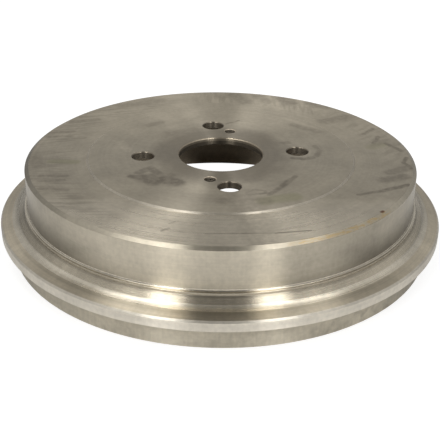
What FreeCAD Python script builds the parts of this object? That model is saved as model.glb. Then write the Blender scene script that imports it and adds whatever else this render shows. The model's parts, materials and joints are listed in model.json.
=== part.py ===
import FreeCAD, Part
import math
import os

import Sketcher

# Rear brake drum: one grey iron casting, turned all over and drilled.
# The origin is the middle of the open rim, which lies in the plane z = 0.
# +Z is the drum's axis and points out of the wheel seat. Lengths are millimetres, angles degrees.

# Driving sizes: name, value, what it is.
SIZES = [
    ("overall_height", 56.8, "open rim to wheel seat"),
    ("friction_diameter", 228.6, "turned surface that the shoes rub on"),
    ("friction_height", 42.0, "open rim to the end of the friction surface"),
    ("mouth_chamfer", 0.7, "lead-in of the friction surface at the open rim"),
    ("relief_depth", 1.0, "step out from the friction surface to the cast corner above it"),
    ("corner_slope", 4.0, "slope between the cast corner and the web, across and up"),
    ("barrel_wall", 10.2, "friction surface to the outside of the barrel"),
    ("web_thickness", 4.8, "hub seat to wheel seat"),
    ("hub_seat_diameter", 150.0, "turned seat on the underside of the web"),
    ("hub_seat_depth", 0.5, "how far the hub seat is turned into the cast web"),
    ("wheel_seat_diameter", 169.8, "raised seat for the wheel on top of the web"),
    ("wheel_seat_rise", 0.8, "wheel seat above the rest of the face"),
    ("wheel_seat_slope", 1.1, "width of the slope round the wheel seat"),
    ("crown_chamfer_width", 2.5, "crown chamfer, across the face"),
    ("crown_chamfer_drop", 1.5, "crown chamfer, down the barrel"),
    ("bore_diameter", 54.1, "centre bore that fits the hub's spigot"),
    ("bore_chamfer_top", 0.57, "chamfer of the bore at the wheel seat"),
    ("bore_chamfer_under", 0.5, "chamfer of the bore at the hub seat"),
    ("collar_step", 2.1, "barrel to the upright face of the collar below it"),
    ("collar_height", 1.55, "height of the collar's upright face"),
    ("collar_round", 1.2, "round between the barrel and the collar's ledge"),
    ("ramp_run", 8.0, "collar's upright face to the foot of the ramp"),
    ("ramp_slope", 40.0, "angle of the ramp from the level"),
    ("ramp_round", 6.3, "round at the foot of the ramp"),
    ("cone_run", 6.4, "sloping top of the flange, across"),
    ("cone_drop", 1.6, "sloping top of the flange, down"),
    ("flange_chamfer", 1.0, "chamfer of the flange's top edge"),
    ("flange_edge_height", 5.5, "height of the flange's upright edge"),
    ("lip_height", 15.3, "open rim to the underside of the flange"),
    ("lip_inset", 7.0, "flange's edge to the outside of the lip"),
    ("lip_chamfer", 0.7, "chamfer of the lip's outer edge at the open rim"),
    ("lip_corner", 1.0, "slope between the lip and the flange's underside, across and up"),
    ("lip_wall", 6.0, "outside of the lip to the dust groove"),
    ("groove_width", 7.5, "dust groove in the open rim, across"),
    ("groove_depth", 11.0, "dust groove in the open rim, up"),
    ("groove_corner", 1.5, "slope in both corners of the groove's bottom, across and up"),
    ("lug_hole_diameter", 14.0, "hole for a wheel stud"),
    ("lug_hole_chamfer", 0.5, "chamfer at both ends of a lug hole"),
    ("lug_circle_diameter", 100.0, "circle through the lug holes"),
    ("lug_hole_count", 4, "number of lug holes, the first on the X axis"),
    ("jack_hole_diameter", 6.8, "tapping size of a jacking hole for a thread of 8 by 1.25"),
    ("jack_hole_chamfer", 0.55, "chamfer at both ends of a jacking hole"),
    ("jack_circle_diameter", 80.0, "circle through the jacking holes"),
    ("jack_turn", 15.2, "turn of the jacking holes from the Y axis, towards +X"),
    ("jack_hole_count", 2, "number of jacking holes"),
]

# Radii of the section, written with the names in the sheet.
BORE = "sizes.bore_diameter / 2"
HUB_SEAT_EDGE = "sizes.hub_seat_diameter / 2"
WHEEL_SEAT_EDGE = "sizes.wheel_seat_diameter / 2"
FRICTION = "sizes.friction_diameter / 2"
RELIEF = f"{FRICTION} + sizes.relief_depth"
BARREL = f"{FRICTION} + sizes.barrel_wall"
COLLAR = f"{BARREL} + sizes.collar_step"
RAMP_FOOT = f"{COLLAR} + sizes.ramp_run"
CONE_FOOT = f"{RAMP_FOOT} + sizes.cone_run"
FLANGE = f"{CONE_FOOT} + sizes.flange_chamfer"
LIP = f"{FLANGE} - sizes.lip_inset"
GROOVE_OUTSIDE = f"{LIP} - sizes.lip_wall"
GROOVE_INSIDE = f"{GROOVE_OUTSIDE} - sizes.groove_width"

# Heights from the wheel seat down to the web.
WHEEL_SEAT = "sizes.overall_height"
FACE = f"{WHEEL_SEAT} - sizes.wheel_seat_rise"
HUB_SEAT = f"{WHEEL_SEAT} - sizes.web_thickness"
WEB_UNDERSIDE = f"{HUB_SEAT} - sizes.hub_seat_depth"

# Heights from the open rim up the outside to the ledge. The ramp's own round ends level at its foot.
FLANGE_TOP = "sizes.lip_height + sizes.flange_edge_height"
CONE_BOTTOM = f"{FLANGE_TOP} + sizes.flange_chamfer"
CONE_TOP = f"{CONE_BOTTOM} + sizes.cone_drop"
RAMP_ANGLE = "sizes.ramp_slope * 1 deg"
ROUND_RUN = f"sizes.ramp_round * sin({RAMP_ANGLE})"
ROUND_RISE = f"sizes.ramp_round * (1 - cos({RAMP_ANGLE}))"
RAMP_TOP = f"{CONE_TOP} + {ROUND_RISE} + (sizes.ramp_run - {ROUND_RUN}) * tan({RAMP_ANGLE})"
LEDGE = f"{RAMP_TOP} + sizes.collar_height"
GROOVE_WALL = "sizes.groove_depth - sizes.groove_corner"

AXIS = FreeCAD.Vector(0, 0, 1)
START, END, CENTRE = 1, 2, 3
ORIGIN_POINT = (-1, START)
LEVEL_AXIS = -1


def make_sheet(document):
    """Put the driving sizes in a sheet, one row each, with the name as the value's alias."""
    sheet = document.addObject("Spreadsheet::Sheet", "sizes")
    for row, (name, value, note) in enumerate(SIZES, start=1):
        sheet.set(f"A{row}", name)
        sheet.set(f"B{row}", str(value))
        sheet.set(f"C{row}", note)
        sheet.setAlias(f"B{row}", name)
    document.recompute()
    return sheet


document = FreeCAD.newDocument("brake_drum")
sheet = make_sheet(document)


def size(expression):
    """Work out an expression that is written with the names in the sheet."""
    return float(sheet.evalExpression(expression))


def origin_feature(body, role):
    """Find the body's own origin plane or axis by its role."""
    return next(feature for feature in body.Origin.OriginFeatures if feature.Role == role)


def new_sketch(body, name, role):
    """Start a sketch on one of the body's origin planes."""
    sketch = body.newObject("Sketcher::SketchObject", name)
    sketch.AttachmentSupport = [(origin_feature(body, role), "")]
    sketch.MapMode = "FlatFace"
    document.recompute()
    return sketch


def bind(sketch, constraint, expression):
    """Add a dimension to a sketch and bind it to the sheet."""
    index = sketch.addConstraint(constraint)
    sketch.setExpression(f"Constraints[{index}]", expression)


class Outline:
    """A closed outline in a sketch, drawn piece by piece from one point round to it again.

    Each point has a radius from the drum's axis and a height above the open rim.
    """

    def __init__(self, sketch, radius, height):
        self.sketch = sketch
        self.point = FreeCAD.Vector(size(radius), size(height), 0)
        self.last = None
        self.first = None

    def hold(self, end, radius=None, height=None):
        """Bind an end of a piece to a radius, a height or both."""
        if radius is not None:
            distance = Sketcher.Constraint("DistanceX", *ORIGIN_POINT, *end, size(radius))
            bind(self.sketch, distance, radius)
        if height == "0":
            self.sketch.addConstraint(Sketcher.Constraint("PointOnObject", *end, LEVEL_AXIS))
        elif height is not None:
            distance = Sketcher.Constraint("DistanceY", *ORIGIN_POINT, *end, size(height))
            bind(self.sketch, distance, height)

    def link(self, begin, finish):
        """Tie a new piece to the one before it."""
        if self.last is None:
            self.first = begin
        else:
            self.sketch.addConstraint(Sketcher.Constraint("Coincident", *self.last, *begin))
        self.last = finish

    def line(self, radius=None, height=None):
        """Draw a straight piece: level with no height, upright with no radius."""
        x = self.point.x if radius is None else size(radius)
        y = self.point.y if height is None else size(height)
        end = FreeCAD.Vector(x, y, 0)
        piece = self.sketch.addGeometry(Part.LineSegment(self.point, end), False)
        self.link((piece, START), (piece, END))
        if height is None:
            self.sketch.addConstraint(Sketcher.Constraint("Horizontal", piece))
        if radius is None:
            self.sketch.addConstraint(Sketcher.Constraint("Vertical", piece))
        self.hold((piece, END), radius, height)
        self.point = end

    def hollow_arc(self, radius, height, centre):
        """Draw an arc that turns anticlockwise and leaves the piece before it without a corner."""
        end = FreeCAD.Vector(size(radius), size(height), 0)
        middle = FreeCAD.Vector(size(centre[0]), size(centre[1]), 0)
        begin_angle = math.atan2(self.point.y - middle.y, self.point.x - middle.x)
        end_angle = math.atan2(end.y - middle.y, end.x - middle.x)
        circle = Part.Circle(middle, AXIS, self.point.distanceToPoint(middle))
        piece = self.sketch.addGeometry(Part.ArcOfCircle(circle, begin_angle, end_angle), False)
        self.hold((piece, END), radius, height)
        self.sketch.addConstraint(Sketcher.Constraint("Tangent", *self.last, piece, START))
        self.last = (piece, END)
        self.point = end

    def close(self):
        """Tie the last piece to the first."""
        self.sketch.addConstraint(Sketcher.Constraint("Coincident", *self.last, *self.first))


def draw_section(sketch):
    """Draw the drum's section, from the bore over the outside and back through the inside."""
    outline = Outline(sketch, BORE, f"{HUB_SEAT} + sizes.bore_chamfer_under")
    draw_web_top(outline)
    draw_outside(outline)
    draw_open_rim(outline)
    draw_inside(outline)
    outline.close()


def draw_web_top(outline):
    """The bore, the raised wheel seat, the face round it and the crown chamfer."""
    outline.line(height=f"{WHEEL_SEAT} - sizes.bore_chamfer_top")
    outline.line(f"{BORE} + sizes.bore_chamfer_top", WHEEL_SEAT)
    outline.line(radius=WHEEL_SEAT_EDGE)
    outline.line(f"{WHEEL_SEAT_EDGE} + sizes.wheel_seat_slope", FACE)
    outline.line(radius=f"{BARREL} - sizes.crown_chamfer_width")
    outline.line(BARREL, f"{FACE} - sizes.crown_chamfer_drop")


def draw_outside(outline):
    """The barrel, the collar with its ledge, the ramp, the flange and the lip under it."""
    outline.line(height=LEDGE)
    outline.line(radius=COLLAR)
    outline.line(height=RAMP_TOP)
    outline.line(f"{RAMP_FOOT} - {ROUND_RUN}", f"{CONE_TOP} + {ROUND_RISE}")
    outline.hollow_arc(RAMP_FOOT, CONE_TOP, (RAMP_FOOT, f"{CONE_TOP} + sizes.ramp_round"))
    outline.line(CONE_FOOT, CONE_BOTTOM)
    outline.line(FLANGE, FLANGE_TOP)
    outline.line(height="sizes.lip_height")
    outline.line(radius=f"{LIP} + sizes.lip_corner")
    outline.line(LIP, "sizes.lip_height - sizes.lip_corner")
    outline.line(height="sizes.lip_chamfer")
    outline.line(f"{LIP} - sizes.lip_chamfer", "0")


def draw_open_rim(outline):
    """The open rim, with the dust groove between the lip and the friction ring."""
    outline.line(radius=GROOVE_OUTSIDE)
    outline.line(height=GROOVE_WALL)
    outline.line(f"{GROOVE_OUTSIDE} - sizes.groove_corner", "sizes.groove_depth")
    outline.line(radius=f"{GROOVE_INSIDE} + sizes.groove_corner")
    outline.line(GROOVE_INSIDE, GROOVE_WALL)
    outline.line(height="0")
    outline.line(radius=f"{FRICTION} + sizes.mouth_chamfer")


def draw_inside(outline):
    """The friction surface, the cast corner above it, the web's underside and the hub seat."""
    outline.line(FRICTION, "sizes.mouth_chamfer")
    outline.line(height="sizes.friction_height")
    outline.line(RELIEF, "sizes.friction_height + sizes.relief_depth")
    outline.line(height=f"{WEB_UNDERSIDE} - sizes.corner_slope")
    outline.line(f"{RELIEF} - sizes.corner_slope", WEB_UNDERSIDE)
    outline.line(radius=HUB_SEAT_EDGE)
    outline.line(height=HUB_SEAT)
    outline.line(radius=f"{BORE} + sizes.bore_chamfer_under")
    outline.line(BORE, f"{HUB_SEAT} + sizes.bore_chamfer_under")


def rims(shape, radius, height=None):
    """Name the round edges of this radius, at one height or at any."""
    names = []
    for number, edge in enumerate(shape.Edges, start=1):
        if not isinstance(edge.Curve, Part.Circle):
            continue
        level = height is None or abs(edge.Curve.Center.z - size(height)) < 1e-4
        if level and abs(edge.Curve.Radius - size(radius)) < 1e-4:
            names.append(f"Edge{number}")
    if not names:
        raise ValueError(f"no round edge of radius {radius}")
    return names


def dress(body, kind, name, edges, amount_property, amount):
    """Round or chamfer edges of the body's last feature."""
    base = body.Tip
    feature = body.newObject(kind, name)
    feature.Base = (base, edges)
    feature.setExpression(amount_property, amount)
    document.recompute()


def turn_section(body):
    """Turn the section about the drum's axis and round the corner at the barrel's foot."""
    section = new_sketch(body, "section", "XZ_Plane")
    draw_section(section)
    document.recompute()
    if not section.FullyConstrained:
        raise ValueError("the section isn't fully held")
    turned = body.newObject("PartDesign::Revolution", "turned_section")
    turned.Profile = (section, [""])
    turned.ReferenceAxis = (section, ["V_Axis"])
    turned.Angle = 360
    document.recompute()
    foot = rims(turned.Shape, BARREL, LEDGE)
    dress(body, "PartDesign::Fillet", "barrel_foot", foot, "Radius", "sizes.collar_round")


def place_hole(body, name, circle_diameter, angle, diameter):
    """Mark one hole on the wheel seat: a circle at the end of a construction line."""
    place = new_sketch(body, name, "XY_Plane")
    place.setExpression("AttachmentOffset.Base.z", WHEEL_SEAT)
    reach = size(circle_diameter) / 2
    direction = math.radians(size(angle))
    centre = FreeCAD.Vector(reach * math.cos(direction), reach * math.sin(direction), 0)
    arm = place.addGeometry(Part.LineSegment(FreeCAD.Vector(0, 0, 0), centre), True)
    place.addConstraint(Sketcher.Constraint("Coincident", arm, START, *ORIGIN_POINT))
    bind(place, Sketcher.Constraint("Distance", arm, reach), f"{circle_diameter} / 2")
    if size(angle) == 0:
        place.addConstraint(Sketcher.Constraint("Horizontal", arm))
    else:
        bind(place, Sketcher.Constraint("Angle", arm, direction), f"({angle}) * 1 deg")
    rim = place.addGeometry(Part.Circle(centre, AXIS, size(diameter) / 2), False)
    place.addConstraint(Sketcher.Constraint("Coincident", rim, CENTRE, arm, END))
    bind(place, Sketcher.Constraint("Diameter", rim, size(diameter)), diameter)
    document.recompute()
    if not place.FullyConstrained:
        raise ValueError(f"{name} isn't fully held")
    return place


def drill(body, name, circle_diameter, angle, diameter, count, chamfer):
    """Drill one hole through the web, repeat it round the axis and chamfer both ends of each."""
    place = place_hole(body, f"{name}_place", circle_diameter, angle, diameter)
    before = body.Tip.Shape.Volume
    hole = body.newObject("PartDesign::Hole", name)
    hole.Profile = place
    hole.ThreadType = "None"
    hole.HoleCutType = "None"
    hole.DepthType = "ThroughAll"
    hole.setExpression("Diameter", diameter)
    document.recompute()
    pattern = body.newObject("PartDesign::PolarPattern", f"{name}_pattern")
    pattern.Originals = [hole]
    pattern.Axis = (origin_feature(body, "Z_Axis"), [""])
    pattern.Angle = 360
    pattern.setExpression("Occurrences", count)
    body.Tip = pattern
    document.recompute()
    least = size(count) * math.pi / 4 * size(diameter) ** 2 * size("sizes.web_thickness")
    removed = before - pattern.Shape.Volume
    if removed < 0.99 * least:
        raise ValueError(f"{name} removed {removed:.1f} and not {least:.1f} cubic mm")
    edges = rims(pattern.Shape, f"{diameter} / 2")
    dress(body, "PartDesign::Chamfer", f"{name}_chamfer", edges, "Size", chamfer)


def make_drum():
    """Turn the drum, then drill its lug holes and its jacking holes."""
    body = document.addObject("PartDesign::Body", "brake_drum")
    body.Label = "brake_drum"
    body.Placement = FreeCAD.Placement()
    turn_section(body)
    drill(
        body, "lug_hole", "sizes.lug_circle_diameter", "0",
        "sizes.lug_hole_diameter", "sizes.lug_hole_count", "sizes.lug_hole_chamfer",
    )
    drill(
        body, "jack_hole", "sizes.jack_circle_diameter", "90 - sizes.jack_turn",
        "sizes.jack_hole_diameter", "sizes.jack_hole_count", "sizes.jack_hole_chamfer",
    )
    return body


def check(parts):
    """Stop unless every object was made and every part is one sound solid."""
    for item in document.Objects:
        if "Invalid" in item.State or "Error" in item.State:
            raise ValueError(f"{item.Name} failed: {item.State}")
    for part in parts:
        if part.Shape.isNull() or not part.Shape.isValid() or len(part.Shape.Solids) != 1:
            raise ValueError(f"{part.Label} isn't one sound solid")


def export(parts):
    """Write each part to a file with its own name."""
    os.makedirs("parts", exist_ok=True)
    for part in parts:
        part.Shape.exportStep(f"parts/{part.Label}.step")
        litres = part.Shape.Volume / 1e6
        print(f"{part.Label}: {litres:.4f} litres, {len(part.Shape.Faces)} faces, {part.Shape.BoundBox}")


drum = make_drum()
check([drum])
export([drum])
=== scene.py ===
"""The looks of the brake drum: fine turned grey iron, a little stained, on a white table.

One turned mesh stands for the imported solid. It repeats the solid's section with its edges broken, and has
the threads of the jacking holes. Units are metres, and the frame is the part's own: +Z is the drum's axis.
"""

import json
import math

import bpy
from mathutils import Matrix, Vector
from mathutils.geometry import delaunay_2d_cdt


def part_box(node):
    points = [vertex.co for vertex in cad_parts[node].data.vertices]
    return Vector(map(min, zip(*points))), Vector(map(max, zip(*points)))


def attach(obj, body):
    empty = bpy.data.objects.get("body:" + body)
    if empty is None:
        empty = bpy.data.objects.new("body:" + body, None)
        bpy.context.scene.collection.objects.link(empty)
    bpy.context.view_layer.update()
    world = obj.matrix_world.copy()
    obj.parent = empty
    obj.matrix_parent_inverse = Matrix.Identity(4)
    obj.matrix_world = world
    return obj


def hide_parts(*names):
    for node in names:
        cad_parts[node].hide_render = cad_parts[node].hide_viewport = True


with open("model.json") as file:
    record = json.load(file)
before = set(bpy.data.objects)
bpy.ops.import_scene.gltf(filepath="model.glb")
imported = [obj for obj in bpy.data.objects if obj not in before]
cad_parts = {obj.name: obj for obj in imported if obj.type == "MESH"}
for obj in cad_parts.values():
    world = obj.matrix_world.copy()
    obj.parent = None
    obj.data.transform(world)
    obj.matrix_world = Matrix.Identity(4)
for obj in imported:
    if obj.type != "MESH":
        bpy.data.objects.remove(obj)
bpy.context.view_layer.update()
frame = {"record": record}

MM = 0.001

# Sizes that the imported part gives.
MOUNTS = {mount["name"]: mount for mount in frame["record"]["mounts"]}
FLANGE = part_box("brake_drum")[1].x
WHEEL_SEAT = MOUNTS["wheel_seat"]["pos_m"][2]
HUB_SEAT = MOUNTS["hub_seat"]["pos_m"][2]
BORE = MOUNTS["hub_bore"]["dims"]["r_mm"] * MM
FRICTION = MOUNTS["friction_surface"]["dims"]["r_mm"] * MM
LUG_HOLE = MOUNTS["stud_holes"]["dims"]["hole_r_mm"] * MM
LUG_CIRCLE = MOUNTS["stud_holes"]["dims"]["pcd_mm"] * MM / 2
LUG_COUNT = MOUNTS["stud_holes"]["dims"]["count"]
JACK_HOLE = MOUNTS["jacking_thread_front"]["dims"]["r_mm"] * MM
JACK_PLACES = [MOUNTS[name]["pos_m"][:2] for name in ("jacking_thread_front", "jacking_thread_back")]

# The rest of the section, as in the part's source.
FACE = WHEEL_SEAT - 0.8 * MM
WEB_UNDERSIDE = HUB_SEAT - 0.5 * MM
SEAT_EDGE = 84.9 * MM
SEAT_SLOPE = 1.1 * MM
HUB_SEAT_EDGE = 75.0 * MM
BARREL = FRICTION + 10.2 * MM
CROWN_WIDTH = 2.5 * MM
CROWN_DROP = 1.5 * MM
FLANGE_CHAMFER = 1.0 * MM
CONE_FOOT = FLANGE - FLANGE_CHAMFER
CONE_TOP = CONE_FOOT - 6.4 * MM
COLLAR = BARREL + 2.1 * MM
RAMP_SLOPE = math.radians(40.0)
LIP = FLANGE - 7.0 * MM
LIP_HEIGHT = 15.3 * MM
FLANGE_TOP = LIP_HEIGHT + 5.5 * MM + FLANGE_CHAMFER
CONE_HEIGHT = FLANGE_TOP + 1.6 * MM
RAMP_HEIGHT = 4.8 * MM
COLLAR_EDGE = 1.55 * MM
MOUTH = 0.7 * MM
GROOVE_OUTSIDE = LIP - 6.0 * MM
GROOVE_INSIDE = GROOVE_OUTSIDE - 7.5 * MM
GROOVE_DEPTH = 11.0 * MM
FRICTION_TOP = 42.0 * MM
RELIEF = 1.0 * MM
BORE_CHAMFER = (0.5 * MM, 0.57 * MM)
LUG_CHAMFER = 0.5 * MM
JACK_CHAMFER = 0.55 * MM

# Roundings of the corners. The foot of the ramp falls by its rise on the way to the cone.
BREAK = 0.25 * MM
SMALL_BREAK = 0.12 * MM
COLLAR_ROUND = 1.2 * MM
RAMP_ROUND = 6.0 * MM
FOOT_RISE = 0.50 * MM
CONE_ROUND = 0.8 * MM
LIP_ROUND = 1.7 * MM
GROOVE_ROUND = 2.4 * MM
WEB_ROUND = 6.8 * MM

# The jacking holes' thread of 8 by 1.25 mm. Its groove is sharp at the bottom, its crest is a narrow
# flat, and the mesh follows it in rows.
THREAD_PITCH = 1.25 * MM
THREAD_DEPTH = 0.6 * MM
THREAD_FLANK = 1.15
THREAD_ROWS = 44

# How finely the mesh is divided: steps round each circle, and the most that a rounding turns in one step.
DRUM_STEPS = 384
BORE_STEPS = 192
LUG_STEPS = 72
JACK_STEPS = 56
ARC_STEP = math.radians(24.0)

# The camera and the lights are turned a little about the drum's axis. The front faces the camera.
SET_DEGREES = -6.33
SET_TURN = Matrix.Rotation(math.radians(SET_DEGREES), 4, "Z")
FRONT_DIRECTION = SET_DEGREES - 90
TOWARD_CAMERA = SET_TURN @ Vector((0, -1, 0))
TOWARD_RIGHT = SET_TURN @ Vector((1, 0, 0))

# The finishes of the drum's surfaces: colour in linear light, roughness, how much rougher it is across
# the turning lines than along them, and how metallic it looks. The colours carry painted light and shade
# too: the bored, drilled and threaded finishes are darker as painted shade inside the holes, and the turned
# bands outside differ in colour from band to band partly as painted light and shade.
FINISHES = {
    "face_iron": ((0.590, 0.529, 0.421), 0.28, 1.0, 0.95),
    "step_iron": ((0.660, 0.602, 0.500), 0.46, 1.0, 0.90),
    "crown_iron": ((0.580, 0.524, 0.415), 0.33, 1.0, 0.96),
    "barrel_iron": ((0.535, 0.484, 0.388), 0.31, 1.0, 0.96),
    "collar_iron": ((0.680, 0.620, 0.508), 0.21, 1.0, 1.00),
    "ramp_iron": ((0.585, 0.524, 0.412), 0.27, 1.0, 1.00),
    "foot_iron": ((0.820, 0.750, 0.616), 0.27, 1.0, 1.00),
    "cone_iron": ((0.470, 0.416, 0.320), 0.32, 1.0, 0.97),
    "edge_iron": ((0.730, 0.676, 0.574), 0.38, 1.0, 0.90),
    "lip_iron": ((0.580, 0.526, 0.418), 0.42, 1.0, 0.85),
    "friction_iron": ((0.460, 0.385, 0.285), 0.25, 0.9, 1.00),
    "bored_iron": ((0.170, 0.146, 0.110), 0.40, 1.0, 1.00),
    "drilled_iron": ((0.280, 0.242, 0.188), 0.36, 0.9, 0.92),
    "thread_iron": ((0.150, 0.129, 0.100), 0.50, 0.0, 0.80),
    "cast_iron": ((0.200, 0.172, 0.138), 0.62, 0.0, 0.45),
}

# The quarter turn that lays the wider blur across the turning lines.
QUARTER_TURN = 0.25

# Away from its front, the face is dulled by handling and old oil: its colour, roughness and metallic look
# there, and the distances towards the back between which it gets paler as a painted sheen, with both
# shades.
DULLED_IRON = ((0.308, 0.273, 0.211), 0.50, 0.30)
DULLED_PAINTED_SHEEN = (-40 * MM, 110 * MM, 1.0, 1.28)

# The front of the face still shines: the distances in front of the axis between which that starts, how
# much its outline wanders, and how much of it the wheel seat has, up to this far inside its edge.
SHINE = (62 * MM, 84 * MM)
SHINE_WANDER = 20 * MM
SEAT_SHINE = 0.14
SEAT_SHINE_END = 1.0 * MM

# Mottled patterns: the size of their features, how fine their detail is, and a seed.
CLOUDS = (20 * MM, 3.0, 2.0)
GRAIN = (2.5 * MM, 2.0, 4.0)
MARK_PATCHES = (3.5 * MM, 4.0, 0.0)
STAIN_OUTLINE = (16 * MM, 3.0, 8.0)
SHINE_OUTLINE = (20 * MM, 2.0, 12.0)
BLOTCHES = (5 * MM, 5.0, 6.0)
CAST_SKIN = (0.9 * MM, 4.0, 0.0)

# Patterns that follow the turning: the size of their features across the axis, along it, and round it in
# radians, how fine their detail is, and a seed.
RINGS = (1.6 * MM, 1.6 * MM, 1.5, 2.0, 5.0)
STREAKS = (40 * MM, 12 * MM, 0.012, 4.0, 9.0)
OIL_PATCHES = (1.2 * MM, 1.2 * MM, 0.03, 3.0, 11.0)
FINE_LINES = (0.55 * MM, 0.55 * MM, 1.2, 1.0, 0.0)
WIDE_LINES = (2.6 * MM, 2.6 * MM, 2.5, 1.0, 7.0)

# How much paler and darker the patterns make the iron, and how much the rings change its roughness.
USUAL_RINGS = 0.14
RING_CONTRAST = {"cone_iron": 0.34, "barrel_iron": 0.13, "lip_iron": 0.10}
RING_ROUGHNESS = 0.08
CLOUD_CONTRAST = 0.26
GRAIN_CONTRAST = 0.16
USUAL_STREAKS = 0.07
STREAK_CONTRAST = {"lip_iron": 0.16}
CAST_CONTRAST = 0.50

# Depths of the turning lines, and of the grain of the cast skin.
FINE_DEPTH = 5.5e-6
WIDE_DEPTH = 9e-6
CAST_DEPTH = 6e-5

# Dark marks on the face, in millimetres from the axis: two ends, half width, and how dark.
DARK_MARKS = [
    # The smudge between the left stud hole and the near jacking hole.
    ((-58, -31), (-52, -33), 2.4, 0.50),
    ((-51, -33), (-45, -40), 4.2, 0.50),
    ((-53, -26), (-46, -19), 2.4, 0.34),
    ((-46, -20), (-41, -29), 2.8, 0.42),
    ((-46, -31), (-38, -34), 3.6, 0.34),
    ((-39, -38), (-31, -41), 5.0, 0.60),
    ((-34, -31), (-30, -34), 3.0, 0.35),
    # The mark round the right stud hole.
    ((63, 8), (65, 0), 1.4, 0.28),
    ((65, 0), (61, -9), 1.6, 0.35),
    ((58, -11), (52, -13), 1.8, 0.42),
    ((52, -13), (45, -11), 1.8, 0.48),
    # Curved strokes and patches near the front stud hole.
    ((42, -39), (36, -46), 1.4, 0.38),
    ((36, -46), (31, -53), 1.7, 0.50),
    ((31, -53), (22, -63), 1.5, 0.42),
    ((31, -26), (24, -34), 1.6, 0.32),
    ((24, -34), (10, -43), 1.8, 0.38),
    ((8, -60), (13, -56), 0.9, 0.35),
    ((13, -56), (20, -57), 0.9, 0.30),
    ((20, -57), (20, -61), 0.9, 0.30),
    ((20, -61), (9, -62), 1.1, 0.38),
    ((-6, -69), (18, -71), 4.0, 0.32),
    # A dull patch across the front, to the right of the darkest part.
    ((6, -60), (12, -122), 8.0, 0.24),
    # Small ones round the middle.
    ((29, 12), (33, 13), 3.2, 0.42),
    ((42, 14), (46, 15), 2.4, 0.34),
    ((-44, 54), (-36, 59), 2.5, 0.22),
    ((9, 52), (19, 58), 0.9, 0.35),
    ((-30, 36), (-12, 42), 5.0, 0.25),
    ((-32, 12), (-31, 30), 5.0, 0.22),
    ((56, 47), (70, 34), 2.8, 0.24),
    # The long line and the patches near the right edge.
    ((75, -66), (90, -62), 1.2, 0.45),
    ((90, -62), (108, -55), 1.6, 0.50),
    ((95, -47), (109, -43), 3.4, 0.36),
    ((102, -36), (116, -30), 3.4, 0.32),
    ((119, -14), (115, -21), 1.2, 0.48),
    ((115, -21), (117, -31), 1.4, 0.48),
    ((101, 28), (110, 37), 1.4, 0.38),
    ((104, 11), (110, 22), 1.4, 0.38),
    ((112, 10), (119, -3), 1.6, 0.42),
    ((80, 54), (97, 61), 4.5, 0.30),
    # Patches along the far edge.
    ((22, 114), (29, 99), 5.0, 0.30),
    ((40, 110), (45, 98), 4.0, 0.28),
    ((58, 103), (63, 94), 5.0, 0.34),
    ((78, 92), (86, 84), 4.6, 0.34),
    ((-62, 97), (-35, 106), 4.5, 0.26),
    # Wiped strokes near the left edge.
    ((-98, 66), (-80, 70), 2.4, 0.28),
    ((-112, 47), (-96, 48), 1.6, 0.34),
    ((-113, 40), (-97, 40), 1.4, 0.30),
    ((-106, 34), (-88, 36), 1.1, 0.26),
    ((-119, 4), (-115, -8), 4.0, 0.30),
    ((-113, -24), (-98, -25), 1.8, 0.36),
    ((-113, -31), (-99, -31), 1.6, 0.30),
    ((-112, -42), (-96, -45), 1.5, 0.34),
    # Short scratches at the front.
    ((-43, -101), (-39, -99), 0.8, 0.55),
    ((-38, -93), (-35, -91), 0.6, 0.35),
]

# Thin scratches, pale marks and greenish marks, given in the same way.
SCRATCH_MARKS = [
    ((-20, -106.8), (0, -108.0), 0.35, 0.35),
    ((0, -108.0), (20, -109.2), 0.45, 0.55),
    ((18, -109.2), (38, -107.8), 0.60, 0.65),
]
PALE_MARKS = [
    ((-27, -39), (-18, -53), 5.5, 0.45),
    ((-48, -28), (-47, -27), 1.6, 0.40),
    ((5, 118), (7, 100), 2.2, 0.40),
    ((50, 108), (51, 82), 3.0, 0.40),
    ((70, 98), (67, 80), 2.6, 0.40),
    ((53, 60), (72, 36), 2.2, 0.30),
    ((-64, 24), (-60, 10), 2.5, 0.30),
]
OLIVE_MARKS = [
    ((-108, -2), (-93, -4), 2.6, 0.40),
    ((18, -71), (36, -67), 4.2, 0.42),
    ((101, 5), (108, 8), 3.5, 0.30),
]

# The marks' edges: how soft they are, how far they wander on the marks, the scratches and the rust spot,
# and the size and detail of that wander.
MARK_EDGE = 1.8
MARK_WANDER = 2.6 * MM
SCRATCH_WANDER = 0.4 * MM
RUST_WANDER = 0.6 * MM
WANDER_SIZE = 7 * MM
WANDER_DETAIL = 3.0

# The marks lie on the top face, which starts between these heights. The dark ones are patchy: the noise
# levels between which they change, and the faintest and the strongest.
TOP_FACE = (FACE - 0.4 * MM, FACE - 0.1 * MM)
PATCHY = (0.34, 0.60, 0.70, 1.30)

# How much paler the pale marks make the iron, and how much rougher dirt and rust make it.
PALE_GAIN = 0.30
SOIL_ROUGHNESS = 0.10
RUST_ROUGHNESS = 0.25

# Where the face was wiped near its rim: the strokes' heading, length and width, the middle and both ends
# of the sector in degrees, the radii between which they appear, and how dark they are.
WIPES = [
    (10, 30 * MM, 2.6 * MM, (146, 56, 30), (86 * MM, 106 * MM), 0.26),
    (84, 20 * MM, 3.2 * MM, (66, 36, 18), (88 * MM, 106 * MM), 0.22),
    (38, 20 * MM, 4.6 * MM, (14, 36, 16), (92 * MM, 110 * MM), 0.22),
    (-4, 24 * MM, 3.4 * MM, (202, 36, 18), (90 * MM, 108 * MM), 0.26),
]

# The noise levels between which a wiped stroke appears, its detail, and the first stroke's seed.
WIPE_LEVELS = (0.46, 0.62)
WIPE_DETAIL = 3.0
WIPE_SEED = 3.0
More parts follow.
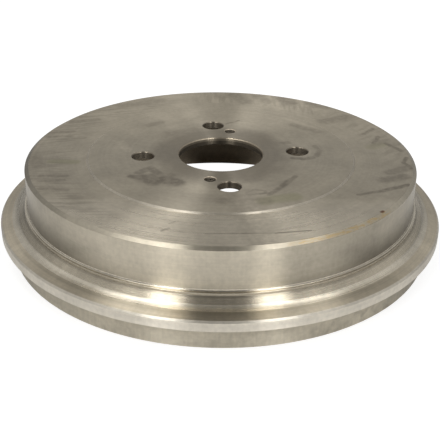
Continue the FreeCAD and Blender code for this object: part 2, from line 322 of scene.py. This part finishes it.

# The holes are painted paler towards their upper edges, as painted light and painted highlights on their
# walls: the heights between which that starts, and how much paler.
HOLE_PAINTED_LIGHT = {
    "bored_iron": [
        (WHEEL_SEAT - 2.2 * MM, WHEEL_SEAT - 1.8 * MM, 2.10),
        (WHEEL_SEAT - 0.7 * MM, WHEEL_SEAT - 0.5 * MM, 1.60),
    ],
    "thread_iron": [(WHEEL_SEAT - 0.7 * MM, WHEEL_SEAT - 0.3 * MM, 4.00)],
}

# The stained ring round the bore: the radii between which it fades, how dark it is at both, and how much
# its outline wanders.
BORE_STAIN = (35 * MM, 54 * MM, 0.48, 0.0)
STAIN_WANDER = 24 * MM

# Colours of what lies on the iron.
SOIL = (0.118, 0.100, 0.076)
OLIVE = (0.20, 0.195, 0.10)
OIL = (0.60, 0.45, 0.24)
RUST = (0.22, 0.105, 0.055)

# The golden oil line along the crown: its direction and both ends in degrees, where it fades in across the
# face and up the barrel, counted from the crown's two edges, and how patchy it is.
OIL_LINE = (-62.0, 19.0, 13.0)
OIL_ACROSS = (-0.9 * MM, 0.2 * MM)
OIL_UP = (-0.8 * MM, 0.1 * MM)
OIL_PATCHY = (0.40, 0.62, 0.10, 0.85)

# The rust spot at the oil line's end, given as the marks are.
RUST_SPOT = ((82.2, -89.2), (83.2, -88.2), 0.8, 0.85)

# The barrel is painted darker towards its foot, as painted shade: the heights between which it does, and
# its shades at both. Its front doesn't, and is a little paler there as painted light: the angles from the
# front between which that fades, and the front's shade.
BARREL_FOOT_PAINTED_SHADE = (31 * MM, 49 * MM, 0.55, 1.0)
BARREL_FRONT_PAINTED_LIGHT = (62, 20, 1.06)

# Sectors where these finishes are painted darker, as painted shade: the direction and both ends in degrees,
# and how dark.
PAINTED_SECTOR_SHADES = {
    "barrel_iron": (FRONT_DIRECTION + 31, 21, 9, 0.80),
    "crown_iron": (FRONT_DIRECTION - 75, 38, 18, 0.68),
    "ramp_iron": (FRONT_DIRECTION - 75, 38, 22, 0.80),
}

# How much paler or darker these finishes are painted towards the sides than in front, as painted light and
# shade, after the angles from the front beyond which they fully are and within which they aren't.
PAINTED_SIDE_SHADES = {
    "cone_iron": (66, 34, 1.42),
    "foot_iron": (66, 34, 0.78),
    "ramp_iron": (50, 24, 1.10),
    "lip_iron": (62, 30, 0.74),
}

# The lip has dark blotches: the noise levels between which they appear, and how dark they are. More of
# them are to the right of the front: there the direction and both ends in degrees, and how dark.
BLOTCH_LEVELS = (0.40, 0.74)
BLOTCH_DEPTH = 0.16
BLOTCHED_SECTOR = (FRONT_DIRECTION + 62, 48, 26)
BLOTCHED_DEPTH = 0.38

# Painted shade in the corners at the barrel's foot: radius, height, reach, and how dark. It is darkest
# within this share of its reach.
PAINTED_CORNER_SHADE = [
    (BARREL + 0.2 * MM, CONE_HEIGHT + RAMP_HEIGHT + COLLAR_EDGE + 0.2 * MM, 0.45 * MM, 0.38),
    (COLLAR + 0.1 * MM, CONE_HEIGHT + RAMP_HEIGHT, 1.90 * MM, 0.36),
]
SHADE_CORE = 0.2

# The white table: how much light it gives back, and how much it glows so that it shows white. Both are
# given below the drum and around it.
TABLE_SIZE = 6.0
TABLE_GAP = 0.2 * MM
TABLE_SHADE = (0.85, 0.40)
TABLE_GLOW = (1.0, 0.78)

# How bright the table is in the metal's reflections. Around the drum it is brightest in front: how much
# of the way to the front it starts and ends to brighten, and both levels. Below the drum it is brighter
# to the sides: the distances between which it brightens, and both levels.
MIRRORED_AROUND = (-0.1, 0.9, 0.31, 0.74)
MIRRORED_BELOW = (12 * MM, 32 * MM, 0.005, 0.14)

# The strip lights: name, front end, back end, width and radiance. Ends and widths are shares of the height.
LIGHT_HEIGHT = 2.0
STRIPS = [
    ("strip_left_front", (-0.86, -1.70), (-0.485, -0.75), 0.42, 5.6),
    ("strip_left_middle", (-0.47, -0.62), (-0.262, 0.00), 0.21, 2.1),
    ("strip_left_back", (-0.40, -0.12), (-0.35, 0.50), 0.26, 3.1),
    ("strip_right_front", (0.87, -1.70), (0.49, -0.75), 0.42, 5.2),
    ("strip_right_middle", (0.465, -0.62), (0.26, 0.00), 0.20, 2.2),
    ("strip_right_back", (0.45, -0.12), (0.40, 0.50), 0.24, 2.1),
]

# The sky: its brightness from the horizon to straight above, around and in front, and how much of the way
# to the front it starts and ends to change from one to the other.
SKY_AROUND = [(0.0, 0.10), (0.21, 0.25), (0.47, 0.55), (0.77, 0.58), (0.9, 0.32), (1.0, 0.14)]
SKY_IN_FRONT = [(0.0, 0.36), (0.21, 0.42), (0.47, 0.35), (0.77, 0.06), (1.0, 0.14)]
SKY_FRONT = (0.1, 0.9)

# The camera, found from the photograph's circles.
CAMERA_DISTANCE = 0.59787
CAMERA_RISE = math.radians(27.264)
CAMERA_ROLL = math.radians(0.702)
CAMERA_TARGET = (0.042 * MM, 0.0, 8.647 * MM)
CAMERA_LENS = 73.03
CAMERA_SENSOR = 36.0
CAMERA_NEAR = 0.01
CAMERA_FAR = 20.0


def outside_line():
    """Corners from the wheel seat's edge, down the outside, and up the inside to the hub seat's edge.

    Each has its radius, its height, its rounding, and the finish of the surface that follows it.
    """
    ramp_top = CONE_HEIGHT + RAMP_HEIGHT
    ramp_foot = COLLAR + (RAMP_HEIGHT - FOOT_RISE) / math.tan(RAMP_SLOPE)
    ledge = ramp_top + COLLAR_EDGE
    relief = FRICTION + RELIEF
    return [
        (SEAT_EDGE / 2, WHEEL_SEAT, 0, "face_iron"),
        (SEAT_EDGE, WHEEL_SEAT, BREAK, "step_iron"),
        (SEAT_EDGE + SEAT_SLOPE, FACE, BREAK, "face_iron"),
        (BARREL - CROWN_WIDTH, FACE, BREAK, "crown_iron"),
        (BARREL, FACE - CROWN_DROP, BREAK, "barrel_iron"),
        (BARREL, ledge, COLLAR_ROUND, "collar_iron"),
        (COLLAR, ledge, BREAK, "collar_iron"),
        (COLLAR, ramp_top, BREAK, "ramp_iron"),
        (ramp_foot, CONE_HEIGHT + FOOT_RISE, RAMP_ROUND, "foot_iron"),
        (CONE_TOP, CONE_HEIGHT, CONE_ROUND, "cone_iron"),
        (CONE_FOOT, FLANGE_TOP, BREAK, "edge_iron"),
        (FLANGE, FLANGE_TOP - FLANGE_CHAMFER, BREAK, "edge_iron"),
        (FLANGE, LIP_HEIGHT, BREAK, "lip_iron"),
        (LIP, LIP_HEIGHT, LIP_ROUND, "lip_iron"),
        (LIP, MOUTH, BREAK, "lip_iron"),
        (LIP - MOUTH, 0, BREAK, "lip_iron"),
        (GROOVE_OUTSIDE, 0, BREAK, "cast_iron"),
        (GROOVE_OUTSIDE, GROOVE_DEPTH, GROOVE_ROUND, "cast_iron"),
        (GROOVE_INSIDE, GROOVE_DEPTH, GROOVE_ROUND, "cast_iron"),
        (GROOVE_INSIDE, 0, BREAK, "lip_iron"),
        (FRICTION + MOUTH, 0, BREAK, "friction_iron"),
        (FRICTION, MOUTH, BREAK, "friction_iron"),
        (FRICTION, FRICTION_TOP, BREAK, "cast_iron"),
        (relief, FRICTION_TOP + RELIEF, BREAK, "cast_iron"),
        (relief, WEB_UNDERSIDE, WEB_ROUND, "cast_iron"),
        (HUB_SEAT_EDGE, WEB_UNDERSIDE, SMALL_BREAK, "face_iron"),
        (HUB_SEAT_EDGE, HUB_SEAT, SMALL_BREAK, "face_iron"),
        (HUB_SEAT_EDGE / 2, HUB_SEAT, 0, "face_iron"),
    ]


def hole_line(radius, chamfers, finish):
    """Corners up through a hole, from the hub seat to the wheel seat."""
    under, top = chamfers
    places = [
        (2 * radius, HUB_SEAT, 0),
        (radius + under, HUB_SEAT, SMALL_BREAK),
        (radius, HUB_SEAT + under, SMALL_BREAK),
        (radius, WHEEL_SEAT - top, SMALL_BREAK),
        (radius + top, WHEEL_SEAT, SMALL_BREAK),
        (2 * radius, WHEEL_SEAT, 0),
    ]
    return [(*place, finish) for place in places]


def rounded(corners):
    """Points along a line with its corners rounded: place, outward normal to the line's left, and finish.

    The first and the last corner only give the directions in which the line starts and ends.
    """
    line = []
    for before, corner, after in zip(corners, corners[1:], corners[2:]):
        here = Vector(corner[:2])
        arriving = (here - Vector(before[:2])).normalized()
        leaving = (Vector(after[:2]) - here).normalized()
        turn = math.atan2(arriving.cross(leaving), arriving.dot(leaving))
        side = math.copysign(1, turn)
        round_radius, finish = corner[2:]
        start = here - arriving * round_radius * math.tan(abs(turn) / 2)
        centre = start + side * round_radius * Vector((-arriving.y, arriving.x))
        steps = max(2, math.ceil(abs(turn) / ARC_STEP))
        for step in range(steps + 1):
            heading = Matrix.Rotation(turn * step / steps, 2) @ arriving
            normal = Vector((-heading.y, heading.x))
            line.append((centre - side * round_radius * normal, normal, finish))
    return line


class ThreadedPlace:
    """A place on a threaded hole's wall: its radius follows the thread and the chamfers at both ends."""

    def __init__(self, height):
        self.y = height

    def x(self, angle):
        turn = (self.y / THREAD_PITCH - angle / (2 * math.pi)) % 1
        groove = THREAD_DEPTH * max(0, 1 - abs(2 * turn - 1) * THREAD_FLANK)
        chamfer = max(HUB_SEAT + JACK_CHAMFER - self.y, self.y - WHEEL_SEAT + JACK_CHAMFER, 0)
        return JACK_HOLE + min(max(groove, chamfer), JACK_CHAMFER)


def threaded_line():
    """A jacking hole's wall from the hub seat to the wheel seat. The thread has no normals of its own."""
    corners = hole_line(JACK_HOLE, (JACK_CHAMFER, JACK_CHAMFER), "thread_iron")
    ends = rounded(corners)
    per_corner = len(ends) // (len(corners) - 2)
    bottom, top = ends[:per_corner], ends[-per_corner:]
    low, high = bottom[-1][0].y, top[0][0].y
    heights = [low + (high - low) * row / THREAD_ROWS for row in range(1, THREAD_ROWS)]
    return bottom + [(ThreadedPlace(height), None, "thread_iron") for height in heights] + top


class Shell:
    """A closed surface gathered from turned bands and flat faces."""

    def __init__(self):
        self.points = []
        self.normals = []
        self.faces = []
        self.finishes = []

    def turn(self, line, steps, centre=(0, 0)):
        """Turns a line about an upright axis, and returns the first and the last ring of points."""
        rings = []
        for place, normal, _ in line:
            rings.append(range(len(self.points), len(self.points) + steps))
            for step in range(steps):
                angle = 2 * math.pi * step / steps
                radius = place.x(angle) if callable(place.x) else place.x
                across = Vector((math.cos(angle), math.sin(angle), 0))
                self.points.append(Vector((*centre, place.y)) + radius * across)
                self.normals.append(normal and normal.x * across + Vector((0, 0, normal.y)))
        for here, there, (_, _, finish) in zip(rings, rings[1:], line):
            for step in range(steps):
                ahead = (step + 1) % steps
                self.faces.append((here[step], there[step], there[ahead], here[ahead]))
                self.finishes.append(finish)
        return rings[0], rings[-1]

    def flat(self, edge, holes, up):
        """Fills the level face between its edge ring and the rings of its holes."""
        rings = [list(edge), *map(list, holes)]
        names = [index for ring in rings for index in ring]
        number = {index: place for place, index in enumerate(names)}
        edges = [(number[a], number[b]) for ring in rings for a, b in zip(ring, ring[1:] + ring[:1])]
        points = [self.points[index].xy for index in names]
        inside_only, same_place = 1, 1e-9
        points, _, triangles, sources = delaunay_2d_cdt(points, edges, [], inside_only, same_place)[:4]
        gaps = []
        for ring in rings[1:]:
            centre = sum((self.points[index].xy for index in ring), Vector((0, 0))) / len(ring)
            gaps.append((centre, (self.points[ring[0]].xy - centre).length))
        for triangle in triangles:
            middle = sum((points[corner] for corner in triangle), Vector((0, 0))) / 3
            if any((middle - centre).length < reach for centre, reach in gaps):
                continue
            corners = [names[sources[corner][0]] for corner in triangle]
            self.faces.append(corners if up else corners[::-1])
            self.finishes.append("face_iron")

    def as_object(self, name):
        """The surface as one smooth mesh object, whose material slots are the finishes in their order."""
        mesh = bpy.data.meshes.new(name)
        mesh.from_pydata(self.points, [], self.faces)
        mesh.polygons.foreach_set("use_smooth", [True] * len(mesh.polygons))
        order = list(FINISHES)
        mesh.polygons.foreach_set("material_index", [order.index(finish) for finish in self.finishes])
        found = [vertex.normal.copy() for vertex in mesh.vertices]
        normals = [own or plain for own, plain in zip(self.normals, found)]
        mesh.normals_split_custom_set_from_vertices(normals)
        made = bpy.data.objects.new(name, mesh)
        bpy.context.scene.collection.objects.link(made)
        return made


def build_drum():
    """The whole drum as one closed mesh."""
    shell = Shell()
    seat_edge, hub_seat_edge = shell.turn(rounded(outside_line()), DRUM_STEPS)
    holes = [shell.turn(rounded(hole_line(BORE, BORE_CHAMFER, "bored_iron")), BORE_STEPS)]
    lug_line = rounded(hole_line(LUG_HOLE, (LUG_CHAMFER, LUG_CHAMFER), "drilled_iron"))
    for number in range(LUG_COUNT):
        angle = 2 * math.pi * number / LUG_COUNT
        centre = LUG_CIRCLE * math.cos(angle), LUG_CIRCLE * math.sin(angle)
        holes.append(shell.turn(lug_line, LUG_STEPS, centre))
    for centre in JACK_PLACES:
        holes.append(shell.turn(threaded_line(), JACK_STEPS, centre))
    shell.flat(seat_edge, [top for _, top in holes], up=True)
    shell.flat(hub_seat_edge, [bottom for bottom, _ in holes], up=False)
    return shell.as_object("brake_drum_iron")


class Graph:
    """The nodes of a material or a world, with short calls for those that are used often."""

    def __init__(self, owner):
        owner.use_nodes = True
        self.tree = owner.node_tree
        self.tree.nodes.clear()

    def feed(self, socket, value):
        """Links a node's output to a socket, or sets the socket to a plain value."""
        if isinstance(value, bpy.types.NodeSocket):
            self.tree.links.new(value, socket)
        else:
            socket.default_value = value

    def node(self, kind, inputs=(), **settings):
        made = self.tree.nodes.new(kind)
        for name, value in settings.items():
            setattr(made, name, value)
        for name, value in dict(inputs).items():
            self.feed(made.inputs[name], value)
        return made

    def math(self, operation, *values):
        return self.node("ShaderNodeMath", dict(enumerate(values)), operation=operation).outputs[0]

    def product(self, value, *factors):
        for factor in factors:
            value = self.math("MULTIPLY", value, factor)
        return value

    def wandering(self, value, pattern, amount):
        """A value that a pattern shifts by up to half the amount either way."""
        return self.math("ADD", value, self.math("MULTIPLY_ADD", pattern, amount, -amount / 2))

    def vectors(self, operation, *values):
        return self.node("ShaderNodeVectorMath", dict(enumerate(values)), operation=operation)

    def dot(self, first, second):
        return self.vectors("DOT_PRODUCT", first, second).outputs["Value"]

    def length(self, vector):
        return self.vectors("LENGTH", vector).outputs["Value"]

    def scaled(self, vector, factor):
        """A vector or a colour times a factor."""
        made = self.vectors("SCALE", vector)
        self.feed(made.inputs["Scale"], factor)
        return made.outputs[0]

    def smooth(self, value, low, high, start=0.0, end=1.0):
        """Start below low, end above high, and a smooth step between."""
        inputs = {"Value": value, "From Min": low, "From Max": high, "To Min": start, "To Max": end}
        return self.node("ShaderNodeMapRange", inputs, interpolation_type="SMOOTHSTEP").outputs[0]

    def noise(self, vector, detail, w=0.0):
        inputs = {"Vector": vector, "W": w, "Scale": 1.0, "Detail": detail}
        return self.node("ShaderNodeTexNoise", inputs, noise_dimensions="4D").outputs

    def mix(self, share, first, second):
        inputs = {0: share, 6: first, 7: second}
        return self.node("ShaderNodeMix", inputs, data_type="RGBA").outputs[2]

    def levels(self, value, stops):
        """Greys that change with a value through these stops."""
        ramp = self.node("ShaderNodeValToRGB", {0: value})
        elements = ramp.color_ramp.elements
        while len(elements) < len(stops):
            elements.new(1.0)
        for element, (position, level) in zip(elements, stops):
            element.position = position
            element.color = self.colour([level] * 3)
        return ramp.outputs[0]

    def colour(self, rgb):
        return (*rgb, 1.0)


class Surface(Graph):
    """A finish on the drum: its nodes, and the places and patterns that they share."""

    def __init__(self, name):
        self.material = bpy.data.materials.new(name)
        super().__init__(self.material)
        self.place = self.node("ShaderNodeTexCoord").outputs["Object"]
        x, y, self.z = self.node("ShaderNodeSeparateXYZ", {0: self.place}).outputs[:3]
        plan = self.node("ShaderNodeCombineXYZ", {0: x, 1: y}).outputs[0]
        self.radius = self.length(plan)
        self.away = self.vectors("NORMALIZE", plan).outputs[0]

    def pattern(self, radial, upright, turns, detail, seed):
        """Noise with features of these sizes: across the axis, along it, and round it in radians."""
        outward = self.math("DIVIDE", self.radius, radial)
        lift = self.node("ShaderNodeCombineXYZ", {2: outward}).outputs[0]
        vector = self.vectors("ADD", self.scaled(self.away, 1 / turns), lift).outputs[0]
        height = self.math("ADD", self.math("DIVIDE", self.z, upright), seed)
        return self.noise(vector, detail, height)["Fac"]

    def mottle(self, size, detail, seed):
        """Noise with features of this size."""
        vector = self.vectors("DIVIDE", self.place, (size, size, size)).outputs[0]
        return self.noise(vector, detail, seed)["Fac"]

    def strokes(self, heading, length, width, seed):
        """Noise with features stretched along a heading in plan."""
        along = (math.cos(math.radians(heading)) / length, math.sin(math.radians(heading)) / length, 0)
        across = (-along[1] * length / width, along[0] * length / width, 0)
        both = {0: self.dot(self.place, along), 1: self.dot(self.place, across)}
        vector = self.node("ShaderNodeCombineXYZ", both).outputs[0]
        return self.noise(vector, WIPE_DETAIL, seed)["Fac"]

    def near_direction(self, degrees, outer, inner):
        """One within inner degrees of a direction round the axis, and none beyond outer degrees."""
        direction = (math.cos(math.radians(degrees)), math.sin(math.radians(degrees)), 0)
        along = self.dot(self.away, direction)
        return self.smooth(along, math.cos(math.radians(outer)), math.cos(math.radians(inner)))

    def marks(self, strokes, wander):
        """The strongest of a list of soft strokes, with wandering edges."""
        spread = self.vectors("DIVIDE", self.place, [WANDER_SIZE] * 3).outputs[0]
        shift = self.noise(spread, WANDER_DETAIL)["Color"]
        shift = self.vectors("SUBTRACT", shift, (0.5, 0.5, 0.5)).outputs[0]
        shift = self.vectors("MULTIPLY", shift, (wander, wander, 0)).outputs[0]
        level = self.vectors("MULTIPLY", self.place, (1, 1, 0)).outputs[0]
        place = self.vectors("ADD", level, shift).outputs[0]
        total = 0.0
        for start, end, half_width, depth in strokes:
            first, last = Vector((*start, 0)) * MM, Vector((*end, 0)) * MM
            along = last - first
            offset = self.vectors("SUBTRACT", place, first).outputs[0]
            share = self.dot(offset, along / along.length_squared)
            share = self.node("ShaderNodeClamp", {0: share}).outputs[0]
            nearest = self.scaled(along, share)
            distance = self.vectors("DISTANCE", offset, nearest).outputs["Value"]
            reach = half_width * MM
            stroke = self.smooth(distance, reach * MARK_EDGE, reach / MARK_EDGE, 0.0, depth)
            total = self.math("MAXIMUM", total, stroke)
        return total

    def varied(self, pattern, amount):
        """One, more or less an amount that follows a pattern from nought to one."""
        return self.math("MULTIPLY_ADD", pattern, 2 * amount, 1 - amount)


def turned_height(surface):
    """The height of the turning lines over the surface."""
    fine = surface.pattern(*FINE_LINES)
    wide = surface.pattern(*WIDE_LINES)
    return surface.math("MULTIPLY_ADD", fine, FINE_DEPTH, surface.product(wide, WIDE_DEPTH))


def bore_stain(surface):
    """How dark the stained ring round the bore is."""
    ring = surface.wandering(surface.radius, surface.mottle(*STAIN_OUTLINE), STAIN_WANDER)
    return surface.smooth(ring, *BORE_STAIN)


def wiped_strokes(surface):
    """How dark the wiped strokes near the rim are."""
    total = 0.0
    for number, (heading, length, width, sector, radii, depth) in enumerate(WIPES):
        strokes = surface.strokes(heading, length, width, WIPE_SEED + number)
        strokes = surface.smooth(strokes, *WIPE_LEVELS, 0.0, depth)
        inside = surface.product(surface.near_direction(*sector), surface.smooth(surface.radius, *radii))
        total = surface.math("MAXIMUM", total, surface.product(strokes, inside))
    return total


def face_marks(surface):
    """How dark, pale and green the marks on the face are, from nought to one."""
    top = surface.smooth(surface.z, *TOP_FACE)
    patchy = surface.smooth(surface.mottle(*MARK_PATCHES), *PATCHY)
    dark = surface.product(surface.marks(DARK_MARKS, MARK_WANDER), patchy)
    for more in (surface.marks(SCRATCH_MARKS, SCRATCH_WANDER), bore_stain(surface), wiped_strokes(surface)):
        dark = surface.math("MAXIMUM", dark, more)
    pale = surface.marks(PALE_MARKS, MARK_WANDER)
    olive = surface.marks(OLIVE_MARKS, MARK_WANDER)
    return [surface.product(marks, top) for marks in (dark, pale, olive)]


def face_shine(surface):
    """One where the face still shines as turned, at its front, and nought where it is dull."""
    front = surface.dot(surface.place, TOWARD_CAMERA)
    front = surface.wandering(front, surface.mottle(*SHINE_OUTLINE), SHINE_WANDER)
    seat = surface.smooth(surface.radius, SEAT_EDGE - SEAT_SHINE_END, SEAT_EDGE, SEAT_SHINE, 1.0)
    return surface.product(surface.smooth(front, *SHINE), seat)


def face_look(surface, shade, rough):
    """The face's colour, roughness and metallic look, which differ where it is dull, with a painted sheen.
    """
    base, roughness, _, metallic = FINISHES["face_iron"]
    dull_base, dull_roughness, dull_metallic = DULLED_IRON
    dark, pale, olive = face_marks(surface)
    shine = face_shine(surface)
    # Painted sheen: the dull face is painted paler towards the back.
    paler = surface.smooth(surface.dot(surface.place, -TOWARD_CAMERA), *DULLED_PAINTED_SHEEN)
    shade = surface.product(shade, surface.math("MULTIPLY_ADD", pale, PALE_GAIN, 1.0))
    colour = surface.mix(shine, surface.scaled(dull_base, paler), surface.colour(base))
    colour = surface.scaled(colour, shade)
    colour = surface.mix(olive, colour, surface.colour(OLIVE))
    colour = surface.mix(dark, colour, surface.colour(SOIL))
    rough = surface.math("ADD", rough, surface.smooth(shine, 0.0, 1.0, dull_roughness - roughness, 0.0))
    rough = surface.math("MULTIPLY_ADD", dark, SOIL_ROUGHNESS, rough)
    return colour, rough, surface.smooth(shine, 0.0, 1.0, dull_metallic, metallic)


def blotched(surface, colour):
    """A colour with the lip's dark blotches."""
    depth = surface.near_direction(*BLOTCHED_SECTOR)
    depth = surface.smooth(depth, 0.0, 1.0, BLOTCH_DEPTH, BLOTCHED_DEPTH)
    blotches = surface.smooth(surface.mottle(*BLOTCHES), *BLOTCH_LEVELS)
    return surface.mix(surface.product(blotches, depth), colour, surface.colour(SOIL))


def painted_place_shade(surface, name):
    """Painted light and shade of a finish at its place round the axis, and of the barrel at its height."""
    shade = 1.0
    if name == "barrel_iron":
        outer, inner, front_painted_light = BARREL_FRONT_PAINTED_LIGHT
        front = surface.product(surface.near_direction(FRONT_DIRECTION, outer, inner), front_painted_light)
        shade = surface.math("MAXIMUM", surface.smooth(surface.z, *BARREL_FOOT_PAINTED_SHADE), front)
    if name in PAINTED_SECTOR_SHADES:
        *sector, factor = PAINTED_SECTOR_SHADES[name]
        within = surface.near_direction(*sector)
        shade = surface.product(surface.smooth(within, 0.0, 1.0, 1.0, factor), shade)
    if name in PAINTED_SIDE_SHADES:
        outer, inner, factor = PAINTED_SIDE_SHADES[name]
        ahead = surface.near_direction(FRONT_DIRECTION, outer, inner)
        shade = surface.product(surface.smooth(ahead, 0.0, 1.0, factor, 1.0), shade)
    return shade


def painted_corner_shade(surface):
    """Painted shade in the corners at the barrel's foot, from nought to one."""
    total = 0.0
    for radius, height, reach, depth in PAINTED_CORNER_SHADE:
        across = surface.math("SUBTRACT", surface.radius, radius)
        up = surface.math("SUBTRACT", surface.z, height)
        distance = surface.length(surface.node("ShaderNodeCombineXYZ", {0: across, 1: up}).outputs[0])
        corner_shade = surface.smooth(distance, reach, SHADE_CORE * reach, 0.0, depth)
        total = surface.math("MAXIMUM", total, corner_shade)
    return total


def crown_stains(surface, colour, rough):
    """The golden line of old oil along the crown's front right, with a rust spot at its end."""
    across = [BARREL - CROWN_WIDTH + offset for offset in OIL_ACROSS]
    up = [FACE - CROWN_DROP + offset for offset in OIL_UP]
    band = surface.smooth(surface.radius, *across)
    low = surface.smooth(surface.z, *up)
    patchy = surface.smooth(surface.pattern(*OIL_PATCHES), *OIL_PATCHY)
    oil = surface.product(patchy, surface.near_direction(*OIL_LINE), band, low)
    rust = surface.product(surface.marks([RUST_SPOT], RUST_WANDER), low)
    colour = surface.mix(oil, colour, surface.colour(OIL))
    colour = surface.mix(rust, colour, surface.colour(RUST))
    return colour, surface.math("MULTIPLY_ADD", rust, RUST_ROUGHNESS, rough)


def iron_finish(name):
    """One finish of the iron, turned, drilled or as cast, with the marks of its place and painted light and
    shade.
    """
    base, roughness, across, metallic = FINISHES[name]
    surface = Surface(name)
    rings = surface.pattern(*RINGS)
    grain = surface.mottle(*GRAIN)
    shade = surface.product(
        surface.varied(rings, RING_CONTRAST.get(name, USUAL_RINGS)),
        surface.varied(surface.mottle(*CLOUDS), CLOUD_CONTRAST),
        surface.varied(grain, GRAIN_CONTRAST),
    )
    rough = surface.wandering(roughness, rings, RING_ROUGHNESS)
    height = turned_height(surface)
    if name == "face_iron":
        colour, rough, metallic = face_look(surface, shade, rough)
    # Hole walls: painted light and highlights, paler towards their upper edges.
    elif name in HOLE_PAINTED_LIGHT:
        paler = [surface.smooth(surface.z, low, high, 1.0, gain) for low, high, gain in HOLE_PAINTED_LIGHT[name]]
        colour = surface.scaled(base, surface.product(shade, *paler))
    elif name == "cast_iron":
        colour = surface.scaled(base, surface.varied(grain, CAST_CONTRAST))
        height = surface.product(surface.mottle(*CAST_SKIN), CAST_DEPTH)
    else:
        streaks = surface.varied(surface.pattern(*STREAKS), STREAK_CONTRAST.get(name, USUAL_STREAKS))
        colour = surface.scaled(base, surface.product(shade, streaks))
    if name == "lip_iron":
        colour = blotched(surface, colour)
    # Painted light and shade by place round the axis and by the barrel's height.
    colour = surface.scaled(colour, painted_place_shade(surface, name))
    # Painted shade in the corners at the barrel's foot, mixed towards the soil colour.
    if name in ("barrel_iron", "collar_iron", "ramp_iron"):
        colour = surface.mix(painted_corner_shade(surface), colour, surface.colour(SOIL))
    if name in ("face_iron", "crown_iron"):
        colour, rough = crown_stains(surface, colour, rough)
    bump = surface.node("ShaderNodeBump", {"Height": height, "Distance": 1.0, "Strength": 1.0})
    round_axis = surface.node("ShaderNodeTangent", direction_type="RADIAL", axis="Z").outputs[0]
    if name in ("bored_iron", "drilled_iron"):
        normal = surface.node("ShaderNodeNewGeometry").outputs["Normal"]
        round_axis = surface.vectors("CROSS_PRODUCT", normal, (0, 0, 1)).outputs[0]
    inputs = {
        "Base Color": colour,
        "Metallic": metallic,
        "Roughness": rough,
        "Anisotropic": across,
        "Anisotropic Rotation": QUARTER_TURN,
        "Normal": bump.outputs[0],
        "Tangent": round_axis,
    }
    shader = surface.node("ShaderNodeBsdfPrincipled", inputs).outputs[0]
    surface.node("ShaderNodeOutputMaterial", {"Surface": shader})
    return surface.material


def table_white():
    """A white table top that keeps a soft shadow, and is as bright as set in the metal's reflections."""
    material = bpy.data.materials.new("table_white")
    graph = Graph(material)
    rays = graph.node("ShaderNodeLightPath").outputs
    place = graph.node("ShaderNodeTexCoord").outputs["Object"]
    away = graph.length(place)
    seen = graph.math("MAXIMUM", rays["Is Camera Ray"], rays["Is Transmission Ray"])
    glow = graph.product(seen, graph.smooth(away, FRICTION, LIP, *TABLE_GLOW))
    direction = graph.vectors("NORMALIZE", place).outputs[0]
    around = graph.smooth(graph.dot(direction, TOWARD_CAMERA), *MIRRORED_AROUND)
    below = graph.smooth(graph.math("ABSOLUTE", graph.dot(place, TOWARD_RIGHT)), *MIRRORED_BELOW)
    mirrored = graph.smooth(away, FRICTION, LIP, below, around)
    glow = graph.math("MULTIPLY_ADD", rays["Is Glossy Ray"], mirrored, glow)
    emission = graph.node("ShaderNodeEmission", {"Color": (1, 1, 1, 1), "Strength": glow}).outputs[0]
    shade = graph.smooth(away, FRICTION, LIP, *TABLE_SHADE)
    diffuse = graph.node("ShaderNodeBsdfDiffuse", {"Color": shade}).outputs[0]
    both = graph.node("ShaderNodeAddShader", {0: emission, 1: diffuse}).outputs[0]
    graph.node("ShaderNodeOutputMaterial", {"Surface": both})
    return material


def build_table():
    side = TABLE_SIZE / 2
    corners = [(x, y, -TABLE_GAP) for x, y in ((-side, -side), (side, -side), (side, side), (-side, side))]
    mesh = bpy.data.meshes.new("table")
    mesh.from_pydata(corners, [], [(0, 1, 2, 3)])
    mesh.materials.append(table_white())
    table = bpy.data.objects.new("table", mesh)
    bpy.context.scene.collection.objects.link(table)


def build_strips():
    """Long strip lights overhead on both sides, brighter in front."""
    for name, front_end, back_end, width, radiance in STRIPS:
        start, end = Vector(front_end), Vector(back_end)
        along = end - start
        light = bpy.data.lights.new(name, "AREA")
        light.shape = "RECTANGLE"
        light.size = width * LIGHT_HEIGHT
        light.size_y = along.length * LIGHT_HEIGHT
        light.energy = radiance * math.pi * light.size * light.size_y
        lamp = bpy.data.objects.new(name, light)
        bpy.context.scene.collection.objects.link(lamp)
        place = Vector((*(start + end) / 2, 1)) * LIGHT_HEIGHT
        turn = Matrix.Rotation(math.atan2(-along.x, along.y), 4, "Z")
        lamp.matrix_world = SET_TURN @ Matrix.Translation(place) @ turn


def build_sky():
    """A grey sky that is dark straight above, and differs in front."""
    world = bpy.data.worlds.new("studio")
    bpy.context.scene.world = world
    graph = Graph(world)
    direction = graph.node("ShaderNodeTexCoord").outputs["Generated"]
    height = graph.node("ShaderNodeSeparateXYZ", {0: direction}).outputs[2]
    front = graph.smooth(graph.dot(direction, TOWARD_CAMERA), *SKY_FRONT)
    colour = graph.mix(front, graph.levels(height, SKY_AROUND), graph.levels(height, SKY_IN_FRONT))
    sky = graph.node("ShaderNodeBackground", {"Color": colour}).outputs[0]
    graph.node("ShaderNodeOutputWorld", {"Surface": sky})


def build_camera():
    data = bpy.data.cameras.new("camera")
    data.sensor_width = CAMERA_SENSOR
    data.lens = CAMERA_LENS
    data.clip_start = CAMERA_NEAR
    data.clip_end = CAMERA_FAR
    camera = bpy.data.objects.new("camera", data)
    bpy.context.scene.collection.objects.link(camera)
    back = Matrix.Translation((0, 0, CAMERA_DISTANCE))
    tilt = Matrix.Rotation(math.pi / 2 - CAMERA_RISE, 4, "X")
    roll = Matrix.Rotation(CAMERA_ROLL, 4, "Z")
    camera.matrix_world = SET_TURN @ Matrix.Translation(CAMERA_TARGET) @ tilt @ roll @ back
    bpy.context.scene.camera = camera


build_camera()
build_strips()
build_sky()
build_table()
drum = build_drum()
for finish in FINISHES:
    drum.data.materials.append(iron_finish(finish))
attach(drum, "root")
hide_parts("brake_drum")
bpy.context.scene.view_settings.view_transform = "Standard"
